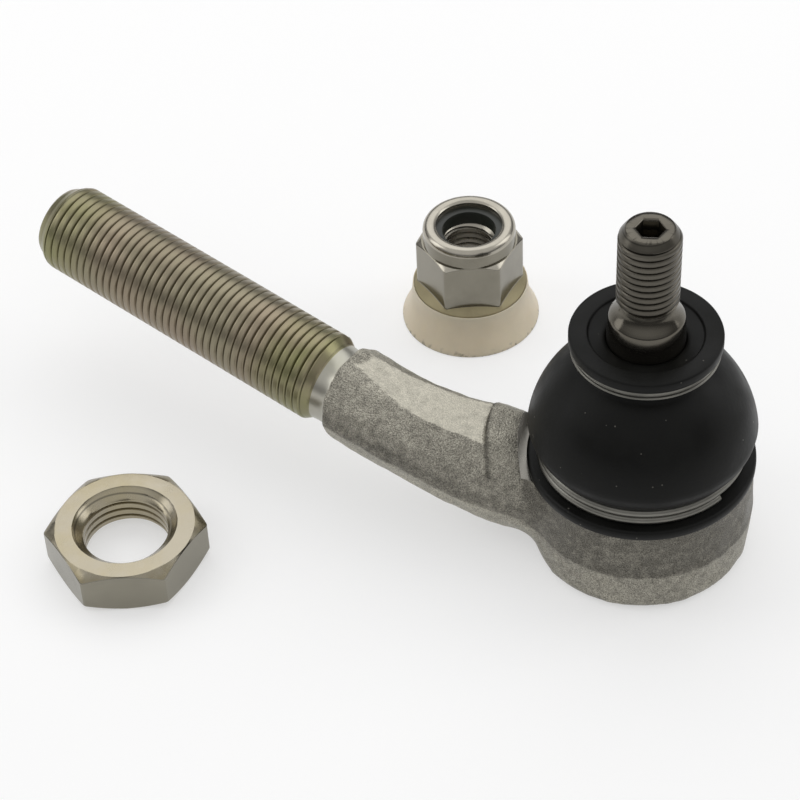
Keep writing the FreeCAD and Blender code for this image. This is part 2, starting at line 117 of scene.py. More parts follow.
class ForgingSettings(bpy.types.PropertyGroup):
    cup_radius: length("Cup radius", "Radius of the cup at its parting line", 19.0 * MM)
    cup_draft: length("Cup draft", "How much the cup narrows to its shoulder and to its base", 0.5 * MM)
    shoulder: length("Shoulder height", "Height of the machined shoulder under the boot", bottom_of("dust_boot"))
    collar_radius: length("Collar radius", "Radius of the collar that the boot grips", 14.2 * MM)
    collar_top: length("Collar height", "Height of the collar's top", 22.3 * MM)
    spotface_radius: length("Spotface radius", "Radius of the cut round the collar", 20.4 * MM)
    voxel: length("Grid size", "Cell of the grid that blends the forged shapes", 0.36 * MM)
    steel: colour("Forging", "Shot-blasted forged steel", (0.50, 0.475, 0.40))
    scale: colour("Forging shade", "Steel in the pits of the blasted skin", (0.13, 0.122, 0.102))
    machined: colour("Machined steel", "Turned faces of the cup", (0.27, 0.26, 0.235))


class ShankSettings(bpy.types.PropertyGroup):
    radius: length("Thread radius", "Outer radius of the M16 thread", MOUNTS["shank_thread"]["dims"]["r_mm"] * MM)
    root: length("Root radius", "Radius at the thread's root", 7.62 * MM)
    pitch: length("Pitch", "Rise of one turn of the thread", 1.5 * MM)
    neck_radius: length("Neck radius", "Radius of the plain neck behind the thread", 6.9 * MM)
    tip: length("Tip", "Distance of the shank's tip from the cup's axis, along the shank", 115.0 * MM)
    olive: colour("Olive plating", "Passivated zinc, main tone", (0.255, 0.228, 0.16))
    rose: colour("Rose plating", "Passivated zinc, warm bands", (0.285, 0.232, 0.172))
    green: colour("Green plating", "Passivated zinc, yellow-green ends", (0.235, 0.23, 0.115))


class StudSettings(bpy.types.PropertyGroup):
    radius: length("Thread radius", "Outer radius of the M10 thread", MOUNTS["stud_thread"]["dims"]["r_mm"] * MM)
    root: length("Root radius", "Radius at the thread's root", 4.25 * MM)
    pitch: length("Pitch", "Rise of one turn of the thread", 1.25 * MM)
    socket: length("Socket flats", "Distance across the flats of the hexagon socket", 4.0 * MM)
    steel: colour("Stud steel", "Turned steel of the stud", (0.1, 0.092, 0.076))


class BootSettings(bpy.types.PropertyGroup):
    bulge_radius: length("Bulge radius", "Widest radius of the rubber dome", 18.75 * MM)
    wire_radius: length("Wire radius", "Half the thickness of the spring wire", 0.8 * MM)
    rubber: colour("Rubber", "Moulded black rubber", (0.0036, 0.0037, 0.0032))
    wire: colour("Ring steel", "Bright steel of both rings", (0.19, 0.185, 0.165))


class NutSettings(bpy.types.PropertyGroup):
    jam_flats: length("Jam nut flats", "Distance across the flats of the jam nut", 24.0 * MM)
    lock_flats: length("Lock nut flats", "Distance across the flats of the lock nut", 17.0 * MM)
    turned: bpy.props.FloatProperty(
        name="Turn", description="How both nuts are turned on the table", default=math.radians(-51.8),
        subtype="ANGLE")
    jam_plating: colour("Jam nut plating", "Yellow-tinged zinc", (0.38, 0.345, 0.27))
    # Painted shade: the jam nut's flats are a darker copy of its plating, as if turned away from the light.
    jam_side: colour("Jam nut flats", "Darker zinc of the flats", (0.25, 0.235, 0.19))
    lock_plating: colour("Lock nut plating", "Bright zinc", (0.40, 0.375, 0.32))
    # Painted shade: the lock nut's flats are a darker copy of its plating, as if turned away from the light.
    lock_side: colour("Lock nut flats", "Darker zinc of the flats", (0.235, 0.22, 0.18))
    skirt: colour("Skirt plating", "Olive zinc of the lock nut's skirt", (0.33, 0.285, 0.17))
    insert: colour("Locking ring", "Dark polyamide ring", (0.022, 0.025, 0.02))
    cone: colour("Dust cone", "Cream plastic cone", (0.86, 0.75, 0.565))


class StageSettings(bpy.types.PropertyGroup):
    floor: colour("Floor", "Pale floor", (0.53, 0.53, 0.53))
    glow: amount("Floor glow", "White that the floor adds to its colour", 0.47)
    ceiling: amount("Ceiling", "Strength of the light from above", 0.78)
    walls: amount("Walls", "Strength of the light from the sides", 0.13)
    left: amount("Left lamp", "Power of the left softbox in watts", 1.3)
    right: amount("Right lamp", "Power of the right softbox in watts", 1.3)
    back: amount("Back lamp", "Power of the large softbox behind, in watts", 2.6)



# Outlines and turned skins.


def arc(start, end, radius, side, count=8):
    """Points of an arc from start to end, both left out; it bulges to the right of the way when side is 1."""
    start, end = np.array(start, float), np.array(end, float)
    chord = end - start
    span = np.linalg.norm(chord)
    across = np.array([chord[1], -chord[0]]) / span * side
    centre = (start + end) / 2 - across * math.sqrt(radius ** 2 - span ** 2 / 4)
    first = math.atan2(*(start - centre)[::-1])
    last = math.atan2(*(end - centre)[::-1])
    sweep = (last - first + math.pi) % TURN - math.pi
    angles = first + sweep * np.arange(1, count) / count
    return [(centre[0] + radius * math.cos(a), centre[1] + radius * math.sin(a)) for a in angles]


def millimetres(points):
    """Rings given in millimetres, in metres; a third number, the depth in a groove, stays."""
    return [(radius * MM, height * MM, *rest) for radius, height, *rest in points]


def round_angles(count):
    return np.linspace(0, TURN, count + 1)


def hexagon_angles():
    """Angles round a hexagon, the first at a corner, closer together beside the corners."""
    half = [0.0, 0.9, 2.4, 5.0, 8.5, 12.5, 16.5, 21.0, 25.5]
    sector = half + [30.0] + [60.0 - angle for angle in half[:0:-1]]
    angles = [60.0 * side + angle for side in range(6) for angle in sector]
    return np.radians(angles + [360.0])


def hexagon_radius(angles, flats, soften=0.0):
    """Distance of a hexagon's outline from its middle, with its corners taken back a little."""
    from_flat = (angles + 1e-9) % (TURN / 6) - TURN / 12
    return np.minimum(flats / 2 / np.cos(from_flat), flats / math.sqrt(3) - soften)


def thread_rings(bottom, top, pitch, groove):
    """Turns along a thread and the share of its height at each ring; groove is half a groove over the pitch."""
    rise = ((0.0, 0.0), (0.4 * groove, 0.5), (0.8 * groove, 0.95), (groove, 1.0), (0.35, 1.0))
    turn_rings = rise + ((0.5, 1.0),) + tuple((1 - along, share) for along, share in rise[:0:-1])
    turns = math.ceil((top - bottom) / pitch) + 1
    return [(turn + along, share) for turn in range(turns) for along, share in turn_rings] + [(turns, 0.0)]


def thread(angles, bottom, top, pitch, valley, crest, cut, groove, inside=False):
    """Rings of a right-hand thread, up a shaft or down a bore. cut is (heights, radii) of the blank's own outline."""
    rings = []
    for turn, share in thread_rings(bottom, top, pitch, groove):
        height = top - (turn - angles / TURN) * pitch if inside else bottom + (turn + angles / TURN - 1) * pitch
        height = np.clip(height, bottom, top)
        blank = np.interp(height, *cut)
        radius = valley + (crest - valley) * share
        rings.append((np.maximum(radius, blank) if inside else np.minimum(radius, blank), height, 1 - share))
    return rings


def thread_bands(plain, threaded, count):
    """Material numbers of a shaft's rings: 1 along its thread and 0 before and after it."""
    return [0] * (plain - 1) + [1] * (threaded - plain) + [0] * (count - threaded)


def turned_mesh(name, angles, rings, bands=None, place=None):
    """A skin through rings of (radius, height) or (radius, height, groove depth); bands number its materials."""
    count = len(angles)
    points = np.zeros((len(rings), count, 3))
    groove = np.zeros((len(rings), count))
    for index, ring in enumerate(rings):
        points[index, :, 0] = ring[0] * np.cos(angles)
        points[index, :, 1] = ring[0] * np.sin(angles)
        points[index, :, 2] = ring[1]
        groove[index] = ring[2] if len(ring) > 2 else 0
    corner = (np.arange(len(rings) - 1)[:, None] * count + np.arange(count - 1)).ravel()
    faces = np.stack([corner, corner + 1, corner + count + 1, corner + count], 1)
    mesh = bpy.data.meshes.new(name)
    mesh.from_pydata(points.reshape(-1, 3).tolist(), [], faces.tolist())
    mark(mesh, "groove", groove.ravel())
    if bands is not None:
        mesh.polygons.foreach_set("material_index", np.repeat(np.array(bands, np.int32), count - 1))
    tidy(mesh)
    if place:
        mesh.transform(place)
    return mesh


def tidy(mesh):
    """Join points that coincide and drop faces with no area."""
    work = bmesh.new()
    work.from_mesh(mesh)
    bmesh.ops.remove_doubles(work, verts=work.verts, dist=1e-6)
    bmesh.ops.dissolve_degenerate(work, edges=work.edges, dist=1e-7)
    work.to_mesh(mesh)
    work.free()


def facing_out(mesh):
    work = bmesh.new()
    work.from_mesh(mesh)
    bmesh.ops.recalc_face_normals(work, faces=work.faces)
    work.to_mesh(mesh)
    work.free()


def closed_bar(name, points, count):
    """A bar with two ends, through rings of count points."""
    faces = [tuple(reversed(range(count))), tuple(range(len(points) - count, len(points)))]
    for first in range(0, len(points) - count, count):
        for here in range(first, first + count):
            there = first + (here + 1 - first) % count
            faces.append((here, there, there + count, here + count))
    mesh = bpy.data.meshes.new(name)
    mesh.from_pydata(points, [], faces)
    return mesh


def values_of(items, name, width=3, kind=float):
    """A number or vector of every point, edge or face, one row each."""
    flat = np.empty(len(items) * width, kind)
    items.foreach_get(name, flat)
    return flat.reshape(-1, width)


def mark(mesh, name, values):
    """Keep a number at every point, which the materials read."""
    mesh.attributes.new(name, "FLOAT", "POINT").data.foreach_set("value", values)


def linked(name, data):
    made = bpy.data.objects.new(name, data)
    bpy.context.scene.collection.objects.link(made)
    return made


def add_piece(name, mesh, materials, crease=32):
    """Link a mesh as a piece of the part, smooth but for edges sharper than crease degrees."""
    for material in materials:
        mesh.materials.append(material)
    mesh.shade_smooth()
    mesh.set_sharp_from_angle(angle=math.radians(crease))
    return linked(name, mesh)


# Materials.


def put(tree, kind, inputs=None, **settings):
    """Add a node, set its options, and link or fill its inputs."""
    node = tree.nodes.new("ShaderNode" + kind)
    for key, value in settings.items():
        setattr(node, key, value)
    for key, value in (inputs or {}).items():
        socket = node.inputs[key]
        if isinstance(value, bpy.types.NodeSocket):
            tree.links.new(value, socket)
        else:
            socket.default_value = value
    return node


def found(tree, kind):
    return next(node for node in tree.nodes if node.type == kind)


def mixed(tree, share, first, second):
    """Colour between two colours."""
    node = put(tree, "Mix", data_type="RGBA")
    for index, value in ((0, share), (6, first), (7, second)):
        if isinstance(value, bpy.types.NodeSocket):
            tree.links.new(value, node.inputs[index])
        else:
            node.inputs[index].default_value = value if index == 0 else (*value, 1)
    return node.outputs[2]


def ranged(tree, value, low, high, new_low=0.0, new_high=1.0):
    node = put(tree, "MapRange", {
        "Value": value, "From Min": low, "From Max": high, "To Min": new_low, "To Max": new_high})
    return node.outputs["Result"]


def calculated(tree, operation, first, second):
    return put(tree, "Math", {0: first, 1: second}, operation=operation).outputs[0]


def place_on(tree):
    return put(tree, "TexCoord").outputs["Object"]


def noise(tree, where, scale, detail, roughness=0.5):
    node = put(tree, "TexNoise", {"Vector": where, "Scale": scale, "Detail": detail, "Roughness": roughness})
    return node.outputs["Fac"]


def attribute(tree, name):
    return put(tree, "Attribute", attribute_name=name).outputs["Fac"]


def shaded(tone, amount):
    return tuple(min(1.0, part * amount) for part in tone)


def new_group(name, inputs, outputs):
    """A shader node group with named value or colour inputs and outputs."""
    group = bpy.data.node_groups.new(name, "ShaderNodeTree")
    for label, kind, default in inputs:
        socket = group.interface.new_socket(label, in_out="INPUT", socket_type="NodeSocket" + kind)
        socket.default_value = default
    for label, kind in outputs:
        group.interface.new_socket(label, in_out="OUTPUT", socket_type="NodeSocket" + kind)
    return group, group.nodes.new("NodeGroupInput").outputs


def give(group, *results):
    """Put the results out of a group, in the order of its outputs."""
    end = group.nodes.new("NodeGroupOutput")
    for index, result in enumerate(results):
        group.links.new(result, end.inputs[index])
    return group


def blasted_grain():
    """Dents and specks that steel shot leaves on a forging, with a slower unevenness under them."""
    group, given = new_group(
        "Blasted grain",
        [("Dents per metre", "Float", 2600.0), ("Patches per metre", "Float", 120.0)],
        [("Height", "Float"), ("Specks", "Float"), ("Patches", "Float")])
    where = place_on(group)
    dents = put(group, "TexVoronoi", {"Vector": where, "Scale": given[0]}, feature="SMOOTH_F1")
    rough = noise(group, where, given[0], 3.0)
    patches = noise(group, where, given[1], 5.0)
    return give(group, calculated(group, "ADD", dents.outputs["Distance"], rough),
                ranged(group, rough, 0.36, 0.62), ranged(group, patches, 0.32, 0.68))


def plating_drift():
    """Slow change between three tones of a passivated plating."""
    white = (1, 1, 1, 1)
    group, given = new_group(
        "Plating drift",
        [("First", "Color", white), ("Second", "Color", white), ("Third", "Color", white),
         ("Patches per metre", "Float", 90.0)],
        [("Color", "Color"), ("Patches", "Float")])
    where = place_on(group)
    aside = put(group, "VectorMath", {0: where, 1: (0.31, 0.17, 0.23)}).outputs[0]
    wide = noise(group, where, given[3], 3.0)
    fine = noise(group, aside, given[3], 6.0, 0.65)
    once = mixed(group, ranged(group, wide, 0.40, 0.60), given[0], given[1])
    return give(group, mixed(group, ranged(group, fine, 0.47, 0.68), once, given[2]), fine)


def groove_shade():
    """How far oil and shade darken a point by its depth in a thread."""
    group, given = new_group("Groove shade", [("Reach", "Float", 0.6)], [("Shade", "Float")])
    depth = ranged(group, attribute(group, "groove"), 0.3, 1.0)
    return give(group, calculated(group, "MULTIPLY", depth, given[0]))


def tool_marks():
    """Fine uneven scratches that finishing and handling leave."""
    group, given = new_group(
        "Tool marks", [("Marks per metre", "Float", 900.0)], [("Height", "Float"), ("Wear", "Float")])
    where = place_on(group)
    squeezed = put(group, "VectorMath", {0: where, 1: (0.25, 0.25, 3.0)}, operation="MULTIPLY").outputs[0]
    wear = noise(group, where, 260.0, 6.0, 0.7)
    return give(group, noise(group, squeezed, given[0], 4.0), ranged(group, wear, 0.35, 0.65))


def use_group(tree, build, *values):
    """Place a node group that build makes, once for all materials, and return its outputs."""
    name = build.__name__.replace("_", " ").capitalize()
    node = put(tree, "Group", node_tree=bpy.data.node_groups.get(name) or build())
    for index, value in enumerate(values):
        node.inputs[index].default_value = value
    return node.outputs


def new_material(name, metallic=0.0, roughness=0.5, specular=0.5):
    """A material with a Principled shader, its tree and that shader."""
    material = bpy.data.materials.new(name)
    material.use_nodes = True
    tree = material.node_tree
    shader = found(tree, "BSDF_PRINCIPLED")
    shader.inputs["Metallic"].default_value = metallic
    shader.inputs["Roughness"].default_value = roughness
    shader.inputs["Specular IOR Level"].default_value = specular
    return material, tree, shader


def coat(tree, shader, skin, unevenness, roughness, height, distance, strength):
    """Give a shader its colour, its roughness from one value to another, and its bump."""
    tree.links.new(skin, shader.inputs["Base Color"])
    tree.links.new(ranged(tree, unevenness, 0.0, 1.0, *roughness), shader.inputs["Roughness"])
    bump = put(tree, "Bump", {"Height": height, "Distance": distance, "Strength": strength})
    tree.links.new(bump.outputs["Normal"], shader.inputs["Normal"])


def forged_steel():
    """Blasted skin between pale steel and dark scale, by the tone kept at each point, which also carries painted light
    from above and a painted shadow at the pad's step.
    """
    settings = bpy.context.scene.tie_rod_forging
    material, tree, shader = new_material("Forged steel", metallic=0.78)
    grain = use_group(tree, blasted_grain, 4600.0, 150.0)
    coarse = noise(tree, place_on(tree), 700.0, 4.0, 0.65)
    tone = attribute(tree, "tone")
    smoother = ranged(tree, tone, 0.8, 0.95, 1.0, 0.4)
    tone = calculated(tree, "ADD", tone, ranged(tree, coarse, 0.3, 0.7, -0.22, 0.22))
    tone = calculated(tree, "ADD", tone, ranged(tree, grain["Patches"], 0.0, 1.0, -0.12, 0.12))
    skin = mixed(tree, ranged(tree, tone, 0.0, 1.0), settings.scale, settings.steel)
    sparkle = ranged(tree, grain["Specks"], 0.0, 1.0, -0.42, 0.42)
    sparkle = calculated(tree, "ADD", calculated(tree, "MULTIPLY", sparkle, smoother), 1.0)
    skin = put(tree, "VectorMath", {0: skin, "Scale": sparkle}, operation="SCALE").outputs[0]
    coat(tree, shader, skin, grain["Patches"], (0.36, 0.5),
         calculated(tree, "MULTIPLY", grain["Height"], smoother), 0.13 * MM, 1.0)
    return material


def machined_steel():
    settings = bpy.context.scene.tie_rod_forging
    material, tree, shader = new_material("Machined steel", metallic=1.0)
    marks = use_group(tree, tool_marks, 900.0)
    skin = mixed(tree, marks["Wear"], shaded(settings.machined, 0.75), settings.machined)
    coat(tree, shader, skin, marks["Wear"], (0.24, 0.36), marks["Height"], 0.02 * MM, 0.5)
    return material


def plated(name, first, second, third, patches, roughness, oil_and_shade=0.6, metallic=0.95, marked=0.25, worn=0.08,
           ends=None, depths=0.18):
    """Passivated zinc over steel, with painted shade and oil darkening the threads by depth. A second or third tone may
    be a share of the first.
    """
    second, third = (shaded(first, tone) if isinstance(tone, float) else tone for tone in (second, third))
    material, tree, shader = new_material(name, metallic=metallic)
    drift = use_group(tree, plating_drift, (*first, 1), (*second, 1), (*third, 1), patches)
    marks = use_group(tree, tool_marks, 700.0)
    skin = drift["Color"]
    if ends:
        near = ranged(tree, drift["Patches"], 0.4, 0.55, 0.35, 1.0)
        skin = mixed(tree, calculated(tree, "MULTIPLY", attribute(tree, "ends"), near), skin, ends)
    # Painted shade, with oil, in the thread grooves: the deeper a point, the darker.
    skin = mixed(tree, use_group(tree, groove_shade, oil_and_shade)["Shade"], skin, shaded(first, depths))
    coat(tree, shader, skin, marks["Wear"], (roughness, roughness + worn), marks["Height"], 0.01 * MM, marked)
    return material


def rubber():
    """Moulded rubber with a paler bloom and a few specks of dust."""
    settings = bpy.context.scene.tie_rod_boot
    material, tree, shader = new_material("Moulded rubber", specular=0.16)
    grain = use_group(tree, blasted_grain, 1500.0, 160.0)
    bloom = ranged(tree, grain["Patches"], 0.2, 1.0, 0.0, 0.6)
    skin = mixed(tree, bloom, settings.rubber, shaded(settings.rubber, 2.2))
    dust = put(tree, "TexVoronoi", {"Scale": 420.0, "Vector": place_on(tree)}).outputs["Distance"]
    skin = mixed(tree, ranged(tree, dust, 0.075, 0.05, 0.0, 0.4), skin, (0.25, 0.24, 0.21))
    coat(tree, shader, skin, grain["Patches"], (0.38, 0.56), grain["Height"], 0.02 * MM, 0.5)
    return material


def plain_plastic(name, tone, roughness, light_through=0.0, dirty_foot=False):
    """Moulded plastic that lets some light through, with dark specks of grime on its foot where it stands."""
    material, tree, shader = new_material(name)
    grain = use_group(tree, blasted_grain, 700.0, 140.0)
    skin = mixed(tree, grain["Patches"], tone, shaded(tone, 0.88))
    if dirty_foot:
        where = place_on(tree)
        level = put(tree, "SeparateXYZ", {0: where}).outputs["Z"]
        low = ranged(tree, level, 1.2 * MM, 0.2 * MM)
        specks = ranged(tree, noise(tree, where, 900.0, 4.0), 0.52, 0.66, 0.0, 0.75)
        skin = mixed(tree, calculated(tree, "MULTIPLY", low, specks), skin, (0.09, 0.075, 0.05))
    shader.inputs["Subsurface Weight"].default_value = light_through
    shader.inputs["Subsurface Scale"].default_value = 1.5 * MM
    shader.inputs["Subsurface Radius"].default_value = (1.0, 0.8, 0.5)
    coat(tree, shader, skin, grain["Patches"], (roughness, roughness + 0.1), grain["Height"], 0.03 * MM, 0.3)
    return material


# Forged housing.


def smooth_curve(stations, values, at):
    """A smooth curve through values at stations."""
    slopes = np.gradient(values, stations)
    index = np.clip(np.searchsorted(stations, at) - 1, 0, len(stations) - 2)
    width = stations[index + 1] - stations[index]
    share = (at - stations[index]) / width
    squared, cubed = share ** 2, share ** 3
    return ((2 * cubed - 3 * squared + 1) * values[index] + (cubed - 2 * squared + share) * width * slopes[index]
            + (3 * squared - 2 * cubed) * values[index + 1] + (cubed - squared) * width * slopes[index + 1])


def shank_line():
    """Where the shank's axis passes the cup's, and its direction."""
    mount = MOUNTS["shank_thread"]
    point, way = Vector(mount["pos_m"]), Vector(mount["axis"])
    return point - way * (point.x / way.x), way


def arm_path(reach):
    """Middle and radius of the forged arm at a distance from the cup's axis."""
    start, way = shank_line()
    rise = -way.z / way.x
    stations = np.array([6.0, 20.0, 31.0, 42.0, 49.54]) * MM
    offset = np.array([-5.6, -9.75, -13.25, start.y / MM, start.y / MM]) * MM
    height = np.array([9.6, 11.85, 0, 0, 0]) * MM
    height[2:] = start.z + rise * stations[2:]
    radius = np.array([9.05, 9.7, 8.5, 8.15, 8.2]) * MM
    return tuple(smooth_curve(stations, values, reach) for values in (offset, height, radius))


def arm_blank():
    """The arm as a closed bar with flats, drafted to a corner at the parting line on both sides."""
    reach = np.linspace(ARM_START, ARM_END, 88)
    offset, height, radius = arm_path(reach)
    round_way = round_angles(96)[:-1]
    flats = ((10, 0.99), (-23, 0.98), (170, 0.99), (203, 0.98), (47, 0.985), (133, 0.985), (-58, 0.975), (238, 0.975),
             (90, 0.985), (-90, 0.965))
    total = np.full_like(round_way, 1.045) ** -60
    for angle, distance in flats:
        facing = np.cos(round_way - math.radians(angle))
        total = total + np.where(facing > 0.3, (distance / np.maximum(facing, 0.3)) ** -60, 0)
    outline = total ** (-1 / 60) * 1.008
    points = []
    for x, y, z, r in zip(reach, offset, height, radius):
        for angle, share in zip(round_way, outline):
            points.append((-x, y - r * share * math.cos(angle), z + r * share * math.sin(angle)))
    return closed_bar("arm blank", points, len(round_way))


def cup_blank(settings):
    radius, draft, shoulder, top = (
        settings.cup_radius, settings.cup_draft, settings.shoulder, settings.collar_top)
    rings = [
        (0, 0),
        (radius - 2.2 * MM, 0),
        *arc((radius - 2.2 * MM, 0), (radius - draft, 1.6 * MM), 1.9 * MM, 1),
        (radius - draft, 1.6 * MM),
        (radius - 0.14 * MM, PARTING - 0.5 * MM),
        (radius, PARTING),
        (radius - 0.14 * MM, PARTING + 0.5 * MM),
        (radius - draft, shoulder),
        (radius - draft, shoulder + 0.8 * MM),
        (15.2 * MM, shoulder + 0.8 * MM),
        (15.2 * MM, top + 0.8 * MM),
        (0, top + 0.8 * MM),
    ]
    return turned_mesh("cup blank", round_angles(128), rings)


def cup_cutter(settings):
    """What the lathe takes from the cup: the ring round the collar, and the bore with its plate pocket."""
    shoulder, collar, top = settings.shoulder, settings.collar_radius, settings.collar_top
    spot = settings.spotface_radius
    above = top + 3 * MM
    ring = turned_mesh("spotface cutter", round_angles(160), [
        (collar, shoulder), (spot, shoulder), (spot, above), (collar, above), (collar, shoulder)])
    facing_out(ring)
    bore = turned_mesh("bore cutter", round_angles(160), millimetres([
        (0, -2), (14.0, -2), (14.0, 2.2), (13.0, 2.2), (13.0, 17.5), (10.4, 17.5), (12.0, 22.3), (12.0, 26), (0, 26)]))
    return ring, bore


def voxel_remeshed(mesh, size):
    """The mesh rebuilt on an even grid, which joins the bodies in it."""
    holder = linked("blank", mesh)
    remesh = holder.modifiers.new("grid", "REMESH")
    remesh.mode = "VOXEL"
    remesh.voxel_size = size
    built = bpy.data.meshes.new_from_object(holder.evaluated_get(bpy.context.evaluated_depsgraph_get()))
    bpy.data.objects.remove(holder)
    return built


def joined_mesh(name, meshes):
    work = bmesh.new()
    for mesh in meshes:
        work.from_mesh(mesh)
    made = bpy.data.meshes.new(name)
    work.to_mesh(made)
    work.free()
    return made


def relaxed(points, edges, weight, rounds):
    """Points drawn towards the mean of their neighbours, each by its own weight."""
    count = np.bincount(edges.ravel(), minlength=len(points))[:, None]
    for _ in range(rounds):
        total = np.zeros_like(points)
        np.add.at(total, edges[:, 0], points[edges[:, 1]])
        np.add.at(total, edges[:, 1], points[edges[:, 0]])
        points = points + weight[:, None] * (total / np.maximum(count, 1) - points)
    return points


def waves(points, size, seed):
    """A smooth unevenness of about one, with hills of about this size."""
    generator = np.random.default_rng(seed)
    total = np.zeros(len(points))
    for _ in range(14):
        way = generator.normal(size=3)
        way *= TURN / size / np.linalg.norm(way) * generator.uniform(0.6, 1.5)
        total += np.sin(points @ way + generator.uniform(0, TURN))
    return total / math.sqrt(7)


def pad_height(points):
    """Height of the flat pad struck on the arm's top, which leans a little away from the straight side."""
    start, way = shank_line()
    x, y, _ = points.T
    reach = -x
    offset = arm_path(np.clip(reach, ARM_START, ARM_END))[0]
    above = 7.35 * MM + 0.7 * MM * (reach - 26 * MM) / (21 * MM)
    return start.z - way.z / way.x * reach + above - 0.1 * (y - offset)


def step(value, start, end):
    """From nought at start to one at end, with soft ends."""
    share = np.clip((value - start) / (end - start), 0, 1)
    return share * share * (3 - 2 * share)


def forge(settings):
    """Cup and arm struck as one body, with a fillet between them, a flat on the arm and an uneven skin."""
    blank = joined_mesh("forging blank", [cup_blank(settings), arm_blank()])
    mesh = voxel_remeshed(blank, settings.voxel)
    points = values_of(mesh.vertices, "co")
    edges = values_of(mesh.edges, "vertices", 2, np.int64)
    points = relaxed(points, edges, np.full(len(points), 0.45), 2)
    out = np.hypot(points[:, 0], points[:, 1])
    from_cup = out - settings.cup_radius
    reach = np.clip(-points[:, 0], ARM_START, ARM_END)
    offset, height, radius = arm_path(reach)
    from_arm = np.hypot(points[:, 1] - offset, points[:, 2] - height) - radius
    near = np.exp(-(from_cup ** 2 + from_arm ** 2) / (2 * (2.8 * MM) ** 2))
    near[(points[:, 0] > -6 * MM) | (points[:, 2] > settings.shoulder + 3 * MM)] = 0
    points = relaxed(points, edges, near * 0.9, 120)
    mesh.vertices.foreach_set("co", points.ravel())
    mesh.update()
    uneven = 0.07 * MM * waves(points, 9 * MM, 3) + 0.03 * MM * waves(points, 3 * MM, 8)
    free = (points[:, 2] > 0.8 * MM) & (points[:, 2] < settings.shoulder + 6 * MM)
    points = points + values_of(mesh.vertices, "normal") * (uneven * free)[:, None]
    over = np.maximum(np.hypot(points[:, 0], points[:, 1]) / (settings.cup_radius - 0.01 * MM), 1)
    points[:, :2] /= np.where(points[:, 0] > -8 * MM, over, 1)[:, None]
    flat = pad_height(points)
    crown = (points[:, 0] < 0) * step(points[:, 2], flat - 2.4 * MM, flat - 1.2 * MM)
    points[:, 2] += 0.6 * MM * crown * np.clip((out - 19 * MM) / (5 * MM), 0, 1) * (out < PAD_START + 0.2 * MM)
    struck = np.clip((out - PAD_START) / (0.4 * MM), 0, 1)
    struck *= np.clip((PAD_END + points[:, 0]) / (0.8 * MM), 0, 1)
    points[:, 2] -= np.maximum(points[:, 2] - flat, 0) * struck
    mesh.vertices.foreach_set("co", points.ravel())
    mesh.update()
    return mesh


def machine(mesh, settings):
    """Cut the turned faces into the forging, and number them as machined."""
    body = linked("forging", mesh)
    cutters = []
    for cutter_mesh in cup_cutter(settings):
        cutter = linked("cutter", cutter_mesh)
        cut = body.modifiers.new("cut", "BOOLEAN")
        cut.operation, cut.solver, cut.object = "DIFFERENCE", "EXACT", cutter
        cutters.append(cutter)
    built = bpy.data.meshes.new_from_object(body.evaluated_get(bpy.context.evaluated_depsgraph_get()))
    for helper in cutters + [body]:
        bpy.data.objects.remove(helper)
    centre = values_of(built.polygons, "center")
    out = np.hypot(centre[:, 0], centre[:, 1])
    wall = (np.abs(out - settings.spotface_radius) < 0.03 * MM) & (centre[:, 2] > settings.shoulder - 0.02 * MM)
    floor = (np.abs(centre[:, 2] - settings.shoulder) < 0.02 * MM) & (out < settings.spotface_radius + 0.02 * MM)
    collar = out < settings.collar_radius + 0.05 * MM
    built.polygons.foreach_set("material_index", (wall | floor | collar).astype(np.int32))
    mark(built, "tone", forging_tone(values_of(built.vertices, "co")))
    return built


def forging_tone(points):
    """How bright the skin is: dark scale on the sides above the parting line, trimmed below it, pressed pad on top. The
    arm's tone rising to its top and the near-white pad are painted light from above; the dark line at the pad's step is
    a painted shadow.
    """
    x, y, z = points.T
    out = np.hypot(x, y)
    reach = np.clip(-x, ARM_START, ARM_END)
    offset, height, _ = arm_path(reach)
    across, above = y - offset, z - height
    side = np.degrees(np.arctan2(above, np.abs(across)))
    # Painted light: the arm's tone rises towards its top, as if lit from above.
    arm = 0.2 + 0.45 * step(side, -5, -9) + 0.22 * step(side, 6, 18) + 0.1 * step(side, 26, 34)
    cup = 0.04 + 0.4 * step(z, PARTING + 0.2 * MM, PARTING - 0.3 * MM)
    share = step(out, 19.6 * MM, 21.5 * MM) * (x < 0)
    tone = cup + (arm - cup) * share
    # Painted highlight: the pressed pad is raised near white, as if catching the light from above.
    on_pad = (np.abs(z - pad_height(points)) < 0.03 * MM) * (out > PAD_START + 0.2 * MM)
    on_pad = on_pad * (x > -PAD_END - 0.2 * MM) * (x < 0)
    # Painted shadow: a dark line along the step where the pad starts.
    edge = np.exp(-((out - PAD_START - 0.1 * MM) / (0.4 * MM)) ** 2) * (above > 0) * (side > 30) * (x < 0)
    return np.clip(tone + (0.95 - tone) * on_pad - 0.6 * edge, 0, 1)


